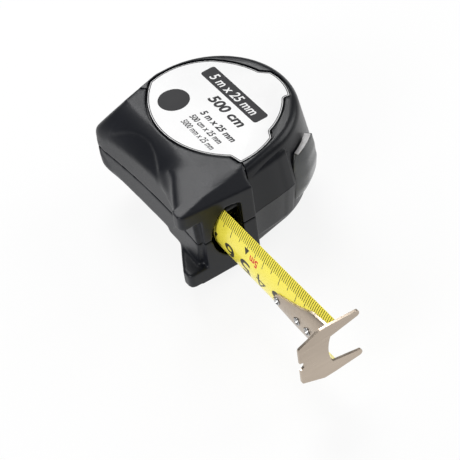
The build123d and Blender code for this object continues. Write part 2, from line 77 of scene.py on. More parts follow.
class Shader:
    """Node tree of one material, with the few nodes that the finishes share."""

    def __init__(self, name: str) -> None:
        """Start a material with its principled shader and Object coordinates.

        Args:
            name: Name of the material.
        """
        self.material = bpy.data.materials.new(name)
        self.material.use_nodes = True
        self.tree = self.material.node_tree
        self.surface = self.tree.nodes["Principled BSDF"]
        self.place = self.add("ShaderNodeTexCoord").outputs["Object"]

    def add(self, kind: str, **settings: object) -> bpy.types.Node:
        """Add a node.

        Args:
            kind: Blender's name of the node type.
            settings: Properties to set on the node.

        Returns:
            The new node.
        """
        node = self.tree.nodes.new(kind)
        for key, value in settings.items():
            setattr(node, key, value)
        return node

    def link(self, start: bpy.types.NodeSocket, end: bpy.types.NodeSocket) -> None:
        """Join an output to an input."""
        self.tree.links.new(start, end)

    def noise(self, scale: float, detail: float, stretch: Point) -> bpy.types.NodeSocket:
        """Add a noise field.

        Args:
            scale: Waves per metre.
            detail: Octaves of the noise.
            stretch: Scale of the field along each axis.

        Returns:
            The socket with a value from 0 to 1.
        """
        mapping = self.add("ShaderNodeMapping")
        mapping.inputs["Scale"].default_value = stretch
        self.link(self.place, mapping.inputs["Vector"])
        field = self.add("ShaderNodeTexNoise")
        field.inputs["Scale"].default_value = scale
        field.inputs["Detail"].default_value = detail
        self.link(mapping.outputs["Vector"], field.inputs["Vector"])
        return field.outputs["Fac"]

    def spread(self, value: bpy.types.NodeSocket, low: float, high: float) -> bpy.types.NodeSocket:
        """Map the middle of a noise field to a range.

        Args:
            value: Socket with the noise.
            low: Result at a low value.
            high: Result at a high value.

        Returns:
            The socket with the mapped value.
        """
        node = self.add("ShaderNodeMapRange")
        for name, edge in zip(("From Min", "From Max", "To Min", "To Max"), (*NOISE_MIDDLE, low, high)):
            node.inputs[name].default_value = edge
        self.link(value, node.inputs["Value"])
        return node.outputs["Result"]

    def blend(self, share: bpy.types.NodeSocket, low: Colour, high: Colour) -> bpy.types.NodeSocket:
        """Mix two colours by a field.

        Args:
            share: Socket with the mix from 0 to 1.
            low: Colour at 0.
            high: Colour at 1.

        Returns:
            The socket with the mixed colour.
        """
        node = self.add("ShaderNodeMix", data_type="RGBA")
        ends = {"A": low, "B": high}
        for socket in node.inputs:
            if socket.type == "RGBA" and socket.name in ends:
                socket.default_value = (*ends[socket.name], 1)
        self.link(share, node.inputs[0])
        return next(s for s in node.outputs if s.type == "RGBA")

    def bump(self, height: bpy.types.NodeSocket, strength: float, depth: float) -> None:
        """Roughen the surface's normal.

        Args:
            height: Socket with the relief from 0 to 1.
            strength: Share of the effect.
            depth: Height of the relief in metres.
        """
        node = self.add("ShaderNodeBump")
        node.inputs["Strength"].default_value = strength
        node.inputs["Distance"].default_value = depth
        self.link(height, node.inputs["Height"])
        self.link(node.outputs["Normal"], self.surface.inputs["Normal"])


@dataclass(frozen=True)
class Finish:
    """A surface of one kind: its colours, its gloss and its grain."""

    slot: str
    colour: Colour
    shade: Colour
    gloss: tuple[float, float]
    patch: float = 60.0
    grain: float = 2500.0
    relief: float = 0.00002
    strength: float = 0.3
    metal: float = 0.0
    specular: float = 0.5
    coat: float = 0.0
    stretch: Point = (1, 1, 1)

    def make(self, name: str) -> bpy.types.Material:
        """Build the material.

        Args:
            name: Name of the material.

        Returns:
            The material.
        """
        shader = Shader(name)
        surface = shader.surface.inputs
        surface["Metallic"].default_value = self.metal
        surface["Specular IOR Level"].default_value = self.specular
        surface["Coat Weight"].default_value = self.coat
        patches = shader.noise(self.patch, 4.0, self.stretch)
        grain = shader.noise(self.grain, 2.0, self.stretch)
        colour = shader.blend(shader.spread(patches, 0, 1), self.shade, self.colour)
        shader.link(colour, surface["Base Color"])
        shader.link(shader.spread(grain, *self.gloss), surface["Roughness"])
        shader.bump(grain, self.strength, self.relief)
        return shader.material


class Look(Enum):
    """The finishes of the tape measure."""

    SHELL = Finish(
        "black_abs", (0.006, 0.007, 0.010), (0.004, 0.005, 0.007), (0.28, 0.40),
        relief=0.00003, specular=0.32,
    )
    BOOT = Finish(
        "black_rubber", (0.008, 0.009, 0.013), (0.005, 0.006, 0.009), (0.34, 0.46),
        relief=0.00004, specular=0.32,
    )
    # painted shade: a near-black, matt copy of the black ABS, for the shade inside the mouth
    LINING = Finish("black_abs", (0.002, 0.002, 0.002), (0.002, 0.002, 0.002), (0.80, 0.90), specular=0.02)
    LABEL = Finish(
        "white_label", (0.86, 0.86, 0.86), (0.82, 0.82, 0.82), (0.35, 0.45), strength=0.05, specular=0.2
    )
    INK = Finish(
        "white_label", (0.052, 0.052, 0.054), (0.046, 0.046, 0.048), (0.60, 0.70),
        strength=0.05, specular=0.08,
    )
    PALE_INK = Finish(
        "white_label", (0.88, 0.88, 0.88), (0.84, 0.84, 0.84), (0.60, 0.70), strength=0.05, specular=0.08
    )
    LOCK = Finish(
        "lock_plastic", (0.058, 0.062, 0.064), (0.050, 0.054, 0.056), (0.18, 0.26), strength=0.06, coat=0.3
    )
    # painted highlight: a pale copy of the lock plastic, for the light caught on the slider's end
    PALE_LOCK = Finish("lock_plastic", (0.42, 0.41, 0.41), (0.38, 0.37, 0.37), (0.20, 0.30), strength=0.06)
    BLADE = Finish(
        "yellow_blade", (0.95, 0.84, 0.090), (0.93, 0.80, 0.078), (0.24, 0.34), strength=0.08, coat=0.3
    )
    TICK = Finish("yellow_blade", (0.030, 0.026, 0.012), (0.020, 0.018, 0.010), (0.35, 0.45), strength=0.05)
    RED = Finish("yellow_blade", (0.72, 0.028, 0.016), (0.66, 0.024, 0.014), (0.35, 0.45), strength=0.05)
    HOOK = Finish(
        "hook_steel", (0.52, 0.44, 0.36), (0.45, 0.38, 0.31), (0.26, 0.40), grain=900.0, strength=0.12,
        metal=1.0, stretch=(1, 0.08, 1),
    )
    STEEL = Finish(
        "dark_steel", (0.42, 0.41, 0.40), (0.30, 0.29, 0.28), (0.25, 0.40), strength=0.1, metal=1.0
    )
    CLIP = Finish(
        "clip_steel", (0.52, 0.52, 0.52), (0.44, 0.44, 0.44), (0.24, 0.36), grain=900.0, strength=0.12,
        metal=1.0, stretch=(1, 0.08, 1),
    )
    SPRING = Finish("spring_steel", (0.35, 0.36, 0.38), (0.28, 0.29, 0.30), (0.25, 0.40), metal=1.0)
    GREY = Finish("grey_plastic", (0.22, 0.22, 0.23), (0.18, 0.18, 0.19), (0.40, 0.55))


class Dresser:
    """Makes materials once each, and turns meshes into pieces of the object."""

    def __init__(self) -> None:
        """Start with no materials made."""
        self.made: dict[Look, bpy.types.Material] = {}

    def material(self, look: Look) -> bpy.types.Material:
        """Give the material of a finish, made on first use."""
        if look not in self.made:
            self.made[look] = look.value.make(look.name.lower())
        return self.made[look]

    def dress(self, node: str, look: Look) -> None:
        """Give a solid of the frame its finish.

        Args:
            node: Name of the solid.
            look: Finish to give it.
        """
        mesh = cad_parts[node].data
        mesh.materials.clear()
        mesh.materials.append(self.material(look))
        LOG.info("dressed %s in %s", node, look.name)

    def piece(
        self, name: str, form: bmesh.types.BMesh, body: Body, look: Look, *nodes: str, crease: float = 38.0
    ) -> bpy.types.Object:
        """Turn a mesh into a piece that rides on a body.

        Args:
            name: Name of the piece.
            form: Its shape, which is used up.
            body: Body that it rides on.
            look: Finish to give it.
            nodes: Solids of the frame that it stands for.
            crease: Angle in degrees past which an edge is shaded as sharp.

        Returns:
            The new object.
        """
        made = Forms.placed(name, form)
        mesh = made.data
        mesh.materials.append(self.material(look))
        mesh.shade_smooth()
        mesh.set_sharp_from_angle(angle=math.radians(crease))
        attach(made, body.value)
        if nodes:
            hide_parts(*nodes)
        LOG.info("%s: %d faces", name, len(mesh.polygons))
        return made


class Forms:
    """Ways of shaping a mesh that several pieces share."""

    @staticmethod
    def placed(name: str, form: bmesh.types.BMesh) -> bpy.types.Object:
        """Turn a mesh into an object of the scene.

        Args:
            name: Name of the object and of its mesh.
            form: Its shape, which is used up.

        Returns:
            The new object.
        """
        mesh = bpy.data.meshes.new(name)
        form.to_mesh(mesh)
        form.free()
        made = bpy.data.objects.new(name, mesh)
        bpy.context.scene.collection.objects.link(made)
        return made

    @staticmethod
    def copy_of(node: str) -> bmesh.types.BMesh:
        """Copy a solid of the frame, with its loose triangles merged.

        Args:
            node: Name of the solid.

        Returns:
            The merged copy.
        """
        form = bmesh.new()
        form.from_mesh(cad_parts[node].data)
        bmesh.ops.remove_doubles(form, verts=form.verts, dist=MERGE)
        return form

    @staticmethod
    def moulded(node: str, voxel: float) -> bmesh.types.BMesh:
        """Copy a solid as an even mesh, whose edges can then be rounded as a mould leaves them.

        Args:
            node: Name of the solid.
            voxel: Size of the even mesh that it gets, in metres.

        Returns:
            The even copy.
        """
        rough = Forms.placed("rough", Forms.copy_of(node))
        mesh = rough.data
        even = rough.modifiers.new("even", "REMESH")
        even.mode = "VOXEL"
        even.voxel_size = voxel
        soft = bmesh.new()
        soft.from_object(rough, bpy.context.evaluated_depsgraph_get())
        bpy.data.objects.remove(rough)
        bpy.data.meshes.remove(mesh)
        bmesh.ops.recalc_face_normals(soft, faces=soft.faces)
        return soft

    @staticmethod
    def relax(form: bmesh.types.BMesh, verts: list[bmesh.types.BMVert], rounds: int) -> None:
        """Round off what stands out of an even mesh.

        Args:
            form: Mesh to round.
            verts: Its points that may move.
            rounds: Rounds of smoothing.
        """
        for _ in range(rounds):
            bmesh.ops.smooth_vert(
                form, verts=verts, factor=0.5, use_axis_x=True, use_axis_y=True, use_axis_z=True
            )

    @staticmethod
    def eased(node: str, width: float) -> bmesh.types.BMesh:
        """Copy a solid with its sharp edges bevelled.

        Args:
            node: Name of the solid.
            width: Width of the bevel in metres.

        Returns:
            The bevelled copy.
        """
        form = Forms.copy_of(node)
        bmesh.ops.dissolve_limit(
            form, angle_limit=FLAT_ANGLE, verts=form.verts, edges=form.edges, use_dissolve_boundaries=False
        )
        sharp = [e for e in form.edges if len(e.link_faces) == 2 and e.calc_face_angle() > SHARP_ANGLE]
        bmesh.ops.bevel(
            form, geom=sharp, offset=width, affect="EDGES", segments=2, profile=0.5, material=-1,
            clamp_overlap=True,
        )
        return form

    @staticmethod
    def turned(profile: Profile, foot: Point, axis: Vector, steps: int = 32) -> bmesh.types.BMesh:
        """Turn a profile round an axis.

        Args:
            profile: Radius and height of each corner, in mm, from axis to axis.
            foot: Point on the axis at height 0, in metres.
            axis: Direction of the axis.
            steps: Faces round the turn.

        Returns:
            The closed turned form.
        """
        form = bmesh.new()
        corners = [form.verts.new((r * MM, 0, h * MM)) for r, h in profile]
        line = [form.edges.new(pair) for pair in zip(corners, corners[1:])]
        bmesh.ops.spin(
            form, geom=corners + line, cent=(0, 0, 0), axis=(0, 0, 1), angle=2 * math.pi, steps=steps,
            use_merge=True,
        )
        bmesh.ops.remove_doubles(form, verts=form.verts, dist=MERGE)
        bmesh.ops.recalc_face_normals(form, faces=form.faces)
        turn = Vector((0, 0, 1)).rotation_difference(axis).to_matrix().to_4x4()
        bmesh.ops.transform(form, matrix=Matrix.Translation(foot) @ turn, verts=form.verts)
        return form

    @staticmethod
    def joined(forms: list[bmesh.types.BMesh]) -> bmesh.types.BMesh:
        """Put several meshes into one.

        Args:
            forms: Meshes, which are used up.

        Returns:
            The mesh that holds them all.
        """
        whole = bmesh.new()
        for form in forms:
            mesh = bpy.data.meshes.new("part")
            form.to_mesh(mesh)
            form.free()
            whole.from_mesh(mesh)
            bpy.data.meshes.remove(mesh)
        return whole

    @staticmethod
    def words(text: str, height: float, weight: float = 0.0, slant: float = 0.0) -> bmesh.types.BMesh:
        """Set figures as a flat mesh, centred on the origin.

        Args:
            text: Figures to set.
            height: Height of a capital in metres.
            weight: How much the strokes are thickened, as a share of the height.
            slant: Lean of the figures.

        Returns:
            The flat mesh in the XY plane.
        """
        curve = bpy.data.curves.new("figures", "FONT")
        curve.body = text
        curve.size = 1.0
        curve.offset = weight
        curve.shear = slant
        curve.resolution_u = 4
        setter = bpy.data.objects.new("figures", curve)
        mesh = bpy.data.meshes.new_from_object(setter)
        form = bmesh.new()
        form.from_mesh(mesh)
        bpy.data.objects.remove(setter)
        bpy.data.curves.remove(curve)
        bpy.data.meshes.remove(mesh)
        bmesh.ops.remove_doubles(form, verts=form.verts, dist=FONT_MERGE)
        low = Vector((min(v.co.x for v in form.verts), min(v.co.y for v in form.verts), 0))
        high = Vector((max(v.co.x for v in form.verts), max(v.co.y for v in form.verts), 0))
        bmesh.ops.translate(form, vec=-(low + high) / 2, verts=form.verts)
        bmesh.ops.scale(form, vec=(height / (high.y - low.y),) * 3, verts=form.verts)
        return form

    @staticmethod
    def span(form: bmesh.types.BMesh) -> float:
        """Give the length of a mesh along X in metres."""
        return max(v.co.x for v in form.verts) - min(v.co.x for v in form.verts)

    @staticmethod
    def cut(
        form: bmesh.types.BMesh, at: Vector | Point, out: Vector | Point, clear: bool = True
    ) -> list[bmesh.types.BMEdge]:
        """Cut a mesh along a plane.

        Args:
            form: Mesh to cut.
            at: Point on the plane in metres.
            out: Direction that the plane faces.
            clear: Whether what lies beyond the plane goes.

        Returns:
            The edges on the plane.
        """
        geom = form.verts[:] + form.edges[:] + form.faces[:]
        cut = bmesh.ops.bisect_plane(form, geom=geom, plane_co=at, plane_no=out, clear_outer=clear)
        return [g for g in cut["geom_cut"] if isinstance(g, bmesh.types.BMEdge)]

    @staticmethod
    def channel(
        radius: float, axis_y: float, turn: float, ends: tuple[float, float], wall: float, steps: int
    ) -> bmesh.types.BMesh:
        """Sweep an arc along X into a thin curved sheet, centred on the parting plane.

        Args:
            radius: Radius of the arc in metres.
            axis_y: Place of its axis in metres.
            turn: Angle that it spans, in radians.
            ends: Where it starts and ends along X, in metres.
            wall: Thickness of the sheet in metres.
            steps: Faces across the arc.

        Returns:
            The closed sheet.
        """
        form = bmesh.new()
        side, depth = radius * math.sin(turn / 2), radius * math.cos(turn / 2)
        seed = form.verts.new((ends[0], axis_y - depth, MID_Z - side))
        bmesh.ops.spin(form, geom=[seed], cent=(0, axis_y, MID_Z), axis=(1, 0, 0), angle=-turn, steps=steps)
        made = bmesh.ops.extrude_edge_only(form, edges=form.edges[:])["geom"]
        far = [g for g in made if isinstance(g, bmesh.types.BMVert)]
        bmesh.ops.translate(form, vec=(ends[1] - ends[0], 0, 0), verts=far)
        bmesh.ops.recalc_face_normals(form, faces=form.faces)
        bmesh.ops.solidify(form, geom=form.faces[:], thickness=wall)
        bmesh.ops.recalc_face_normals(form, faces=form.faces)
        return form

    @staticmethod
    def thicken(form: bmesh.types.BMesh, rise: float) -> None:
        """Raise a flat print off the XY plane as a thin closed layer.

        Args:
            form: Flat mesh in the XY plane.
            rise: Thickness of the layer in metres.
        """
        top = bmesh.ops.extrude_face_region(form, geom=form.faces[:])["geom"]
        raised = [g for g in top if isinstance(g, bmesh.types.BMVert)]
        bmesh.ops.translate(form, vec=(0, 0, rise), verts=raised)
        bmesh.ops.recalc_face_normals(form, faces=form.faces)


@dataclass
class Case:
    """Hard shells, rubber boots, label, fixings and belt clip.

    Here and below, sizes are in mm and angles in degrees, and a size times MM is in metres.
    """

    dresser: Dresser
    voxel: float = 0.5 * MM
    rounds: int = 4
    shell_ease: float = 0.3 * MM
    boot_rounds: int = 6
    heel: tuple[float, float, float] = (-22.0, -22.0, 4.0)
    heel_rounds: int = 40
    label_keep: float = 1.6
    deck: tuple[float, float] = (10.0, 34.0)
    deck_low: float = 9.0
    deck_rounds: int = 80
    seam: tuple[tuple[float, float], ...] = ((-37.0, -20.0), (-26.5, -12.5), (29.5, -6.6), (34.0, -7.7))
    seam_keep: float = 3.0
    parting_keep: float = 1.6
    wall: tuple[tuple[float, float], tuple[float, float]] = ((35.21, 7.48), (38.6, -8.5))
    wall_angle: float = 12.0
    lean: float = 9.0
    swell: tuple[tuple[float, float], ...] = (
        (-12.2, 0.02), (9.2, 0.95), (14.0, 1.15), (18.4, 1.15), (20.4, 0.3)
    )
    swell_ends: tuple[float, float] = (0.08, 17.0)
    swell_grid: tuple[int, int] = (44, 30)
    swell_fade: tuple[float, float] = (1.3, 2.5)
    swell_depth: float = 2.0
    label_ease: float = 0.15 * MM
    # painted shade: thickness of the dark band on the label plate's sides and chamfer
    label_band: float = 0.06 * MM
    bar_text: tuple[str, float, float] = ("5 m x 25 mm", 3.9, 0.012)
    bar_corner: float = 1.2
    slant: float = 0.2
    bar_size: tuple[float, float] = (37.4, 6.4)
    bar_at: tuple[float, float] = (-1.8, 11.75)
    disc_at: tuple[float, float] = (-14.2, -7.6)
    disc_r: float = 6.2
    print_rise: float = 0.04 * MM
    line_widths: tuple[float, float] = (0.25, 0.3)
    lines: tuple[tuple[str, float, float, float, tuple[float, float]], ...] = (
        ("500 cm", 4.4, 0.034, 21.5, (4.4, 4.5)),
        ("5 m x 25 mm", 2.8, 0.034, 21.5, (9.2, -2.7)),
        ("500 cm x 25 mm", 2.6, 0.022, 20.0, (7.5, -7.0)),
        ("5000 mm x 25 mm", 2.6, 0.012, 20.5, (8.0, -11.0)),
    )
    screws: tuple[tuple[float, float], ...] = ((-26.0, -7.3), (-17.9, 20.3), (14.1, 23.1))
    slot_r: float = 13.85
    slot_y: float = -14.18
    slot_turn: float = 62.0
    slot_x: tuple[float, float] = (26.0, 39.7)
    slot_wall: float = 0.1
    clip_ease: float = 0.2 * MM
    clip_crease: float = 18.0
    head_base: Profile = ((0, -1.9), (2.6, -1.9), (2.6, -0.9), (0, -0.9))
    head_rim: Profile = ((1.7, -0.9), (2.6, -0.9), (2.5, -0.25), (2.2, 0), (1.7, 0), (1.7, -0.9))
    head_sunk: float = 0.4
    recess_r: float = 1.72
    recess_half: float = 0.3
    recess_depth: float = 0.9

    def build(self) -> None:
        """Build and dress all pieces of the case."""
        self.build_shells()
        self.build_label()
        self.build_fixings()

    def build_shells(self) -> None:
        """Ease the hard shells and soften the rubber boots."""
        for node in ("front_shell", "back_shell"):
            eased = Forms.eased(node, self.shell_ease)
            self.dresser.piece(f"{node}_eased", eased, Body.CASE, Look.SHELL, node)
        label = Forms.copy_of("label_plate")
        seat = BVHTree.FromBMesh(label)
        label.free()
        for node in ("front_boot", "back_boot"):
            soft = Forms.moulded(node, self.voxel)
            clear = [v for v in soft.verts if seat.find_nearest(v.co)[3] > self.label_keep * MM]
            Forms.relax(soft, clear, self.rounds)
            calm = [v for v in clear if self.is_calm(v.co)]
            Forms.relax(soft, calm, self.boot_rounds)
            Forms.relax(soft, [v for v in calm if self.is_deck(v.co)], self.deck_rounds)
            Forms.relax(soft, [v for v in soft.verts if self.is_heel(v.co)], self.heel_rounds)
            self.dresser.piece(f"{node}_soft", soft, Body.CASE, Look.BOOT, node)
        low, high = self.swell_ends
        halves = [self.shoulder(low, high), self.shoulder(-high, -low)]
        self.dresser.piece("lock_shoulder", Forms.joined(halves), Body.CASE, Look.SHELL)

    def is_deck(self, at: Vector) -> bool:
        """Tell whether a point of the boot is on the deck between the label and the nose."""
        return self.deck[0] * MM < at.x < self.deck[1] * MM and at.z > MID_Z + self.deck_low * MM

    def is_heel(self, at: Vector) -> bool:
        """Tell whether a point of the boot is on the heel, off the parting line."""
        x, y, off = self.heel
        return at.x < x * MM and at.y < y * MM and abs(at.z - MID_Z) > off * MM

    def shoulder(self, low: float, high: float) -> bmesh.types.BMesh:
        """Swell one half of the case's side softly up to the thumb slider.

        Args:
            low: Height of one end off the parting plane in mm.
            high: Height of the other end in mm.

        Returns:
            The closed swelling, which sinks into the case at its far ends.
        """
        form = bmesh.new()
        bmesh.ops.create_grid(form, x_segments=self.swell_grid[0], y_segments=self.swell_grid[1], size=0.5)
        Forms.thicken(form, 1.0)
        first, last = self.swell[0][0], self.swell[-1][0]
        drop, fade = self.swell_fade
        for vert in form.verts:
            turn = first + (last - first) * (vert.co.x + 0.5)
            height = low + (high - low) * (vert.co.y + 0.5)
            ends = max(abs(low), abs(high)) - abs(height)
            reach = self.wall_reach(turn) + self.swell_at(turn)
            skew = math.cos(math.radians(min(turn - self.wall_angle, 0.0)))
            reach -= abs(height) * math.tan(math.radians(self.lean)) / skew
            reach -= drop * max(0.0, 1 - ends / fade) ** 2
            reach = reach if vert.co.z > 0.5 else reach - self.swell_depth
            angle = math.radians(turn)
            vert.co = (reach * math.cos(angle) * MM, reach * math.sin(angle) * MM, MID_Z + height * MM)
        bmesh.ops.recalc_face_normals(form, faces=form.faces)
        return form

    def wall_reach(self, turn: float) -> float:
        """Give the case side's distance from the reel's axis in mm, at an angle in degrees."""
        (x0, y0), (x1, y1) = self.wall
        slope = (x1 - x0) / (y1 - y0)
        straight = (x0 - slope * y0) / (math.cos(math.radians(turn)) - slope * math.sin(math.radians(turn)))
        return straight if turn < math.degrees(math.atan2(y0, x0)) else math.hypot(x0, y0)

    def swell_at(self, turn: float) -> float:
        """Give the height of the swelling in mm, eased between its stations, at an angle in degrees."""
        for (a0, h0), (a1, h1) in zip(self.swell, self.swell[1:]):
            if turn <= a1 + 1e-6:
                share = (turn - a0) / (a1 - a0)
                return h0 + (h1 - h0) * share * share * (3 - 2 * share)
        return 0.0

    def is_calm(self, at: Vector) -> bool:
        """Tell whether a point of the boot is away from its seams and its mouth.

        Args:
            at: Point on the boot in metres.

        Returns:
            Whether the rubber is free to flow there.
        """
        x, y = at.x / MM, at.y / MM
        for (x0, y0), (x1, y1) in zip(self.seam, self.seam[1:]):
            if x0 <= x <= x1:
                line = y0 + (y1 - y0) * (x - x0) / (x1 - x0)
                return y < line - self.seam_keep and abs(at.z - MID_Z) > self.parting_keep * MM
        return False

    def build_label(self) -> None:
        """Ease the label plate, paint shade on its sides and print its plain marks."""
        plate = Forms.eased("label_plate", self.label_ease)
        self.dresser.piece("label", plate, Body.CASE, Look.LABEL, "label_plate")
        # painted shade: a dark band over the label plate's sides and chamfer, where the gap round the plate
        # lies in shadow
        self.dresser.piece("label_edge", self.label_edge(), Body.CASE, Look.SHELL)
        self.dresser.piece("label_line", self.label_line(), Body.CASE, Look.INK)
        bar = self.plate_mark(self.bar_size, self.bar_corner)
        self.lay(bar, self.bar_at)
        self.dresser.piece("label_bar", bar, Body.CASE, Look.INK)
        disc = bmesh.new()
        bmesh.ops.create_circle(disc, cap_ends=True, segments=64, radius=self.disc_r * MM)
        self.lay(disc, self.disc_at)
        self.dresser.piece("label_disc", disc, Body.CASE, Look.INK)
        text, height, weight = self.bar_text
        size = Forms.words(text, height * MM, weight, self.slant)
        self.lay(size, self.bar_at, self.print_rise)
        self.dresser.piece("label_size", size, Body.CASE, Look.PALE_INK)
        forms = []
        for text, height, weight, length, at in self.lines:
            form = Forms.words(text, height * MM, weight, self.slant)
            bmesh.ops.scale(form, vec=(length * MM / Forms.span(form), 1, 1), verts=form.verts)
            self.lay(form, at)
            forms.append(form)
        self.dresser.piece("label_lines", Forms.joined(forms), Body.CASE, Look.INK)

    def label_edge(self) -> bmesh.types.BMesh:
        """Paint shade on the label plate's sides and chamfer: a thin dark band, in the case's black, that
        stands for the shadow in the gap round the plate.

        Returns:
            The closed band.
        """
        form = Forms.copy_of("label_plate")
        # the top and bottom go; the sides and chamfer keep the painted shade
        flat = [f for f in form.faces if abs(f.normal.z) > 0.8]
        bmesh.ops.delete(form, geom=flat, context="FACES")
        bmesh.ops.solidify(form, geom=form.faces[:], thickness=-self.label_band)
        bmesh.ops.recalc_face_normals(form, faces=form.faces)
        return form

    def label_line(self) -> bmesh.types.BMesh:
        """Draw the fine line that runs inside the label plate's edge.

        Returns:
            The thin closed ring.
        """
        form = Forms.copy_of("label_plate")
        below = LABEL_TOP - 0.1 * MM
        rest = [f for f in form.faces if f.normal.z < 0.95 or f.calc_center_median().z < below]
        bmesh.ops.delete(form, geom=rest, context="FACES")
        bmesh.ops.dissolve_faces(form, faces=form.faces[:])
        for width, keep_ring in zip(self.line_widths, (False, True)):
            inner = form.faces[:1]
            ring = bmesh.ops.inset_region(
                form, faces=inner, thickness=width * MM, use_boundary=True, use_even_offset=True
            )["faces"]
            bmesh.ops.delete(form, geom=inner if keep_ring else ring, context="FACES")
        Forms.thicken(form, self.print_rise)
        return form

    @staticmethod
    def plate_mark(size: tuple[float, float], corner: float) -> bmesh.types.BMesh:
        """Make a flat mark with round corners.

        Args:
            size: Width and height in mm.
            corner: Radius of the corners in mm.

        Returns:
            The flat mesh.
        """
        form = bmesh.new()
        bmesh.ops.create_grid(form, x_segments=1, y_segments=1, size=0.5)
        bmesh.ops.scale(form, vec=(size[0] * MM, size[1] * MM, 1), verts=form.verts)
        bmesh.ops.bevel(
            form, geom=form.verts[:], offset=corner * MM, affect="VERTICES", segments=6, profile=0.5,
            material=-1,
        )
        return form

    def lay(self, form: bmesh.types.BMesh, at: tuple[float, float], above: float = 0.0) -> None:
        """Lay a flat print on the label.

        Args:
            form: Flat mesh, centred on the origin.
            at: Place on the label in mm.
            above: Extra height in metres.
        """
        Forms.thicken(form, self.print_rise)
        bmesh.ops.translate(form, vec=(at[0] * MM, at[1] * MM, LABEL_TOP + above), verts=form.verts)

    def build_fixings(self) -> None:
        """Turn the screws, ease the belt clip, and paint shade into the blade's slot."""
        heads = [self.cross_head((x, y, BACK_Z / MM + self.head_sunk)) for x, y in self.screws]
        self.dresser.piece("screw_heads", Forms.joined(heads), Body.CASE, Look.STEEL, "case_screws")
        clip = Forms.eased("belt_clip", self.clip_ease)
        self.dresser.piece("clip", clip, Body.CASE, Look.CLIP, "belt_clip", crease=self.clip_crease)
        self.dresser.dress("clip_screw", Look.STEEL)
        self.dresser.dress("guide_posts", Look.BOOT)
        # painted shade: a near-black sheet along the slot, where the mouth lies in shadow
        self.dresser.piece("mouth_lining", self.lining(), Body.CASE, Look.LINING)

    def cross_head(self, at: Point) -> bmesh.types.BMesh:
        """Build a screw head with a cross recess, facing down.

        Args:
            at: Middle of its face in mm.

        Returns:
            The closed parts of the head.
        """
        down = Vector((0, 0, -1))
        foot = (at[0] * MM, at[1] * MM, at[2] * MM)
        forms = [Forms.turned(profile, foot, down) for profile in (self.head_base, self.head_rim)]
        for quarter in range(4):
            pie = bmesh.new()
            bmesh.ops.create_circle(pie, cap_ends=True, segments=32, radius=self.recess_r * MM)
            for out in ((-1, 0, 0), (0, -1, 0)):
                Forms.cut(pie, (self.recess_half * MM, self.recess_half * MM, 0), out)
            Forms.thicken(pie, self.recess_depth * MM)
            turn = Matrix.Rotation(quarter * math.pi / 2, 3, "Z")
            bmesh.ops.rotate(pie, cent=(0, 0, 0), matrix=turn, verts=pie.verts)
            bmesh.ops.translate(pie, vec=foot, verts=pie.verts)
            forms.append(pie)
        return Forms.joined(forms)

    def lining(self) -> bmesh.types.BMesh:
        """Paint shade into the slot that the blade leaves through, as a thin near-black sheet along its
        arc.

        Returns:
            The thin closed sheet of painted shade.
        """
        turn = 2 * math.radians(self.slot_turn)
        ends = (self.slot_x[0] * MM, self.slot_x[1] * MM)
        return Forms.channel(self.slot_r * MM, self.slot_y * MM, turn, ends, self.slot_wall * MM, 32)


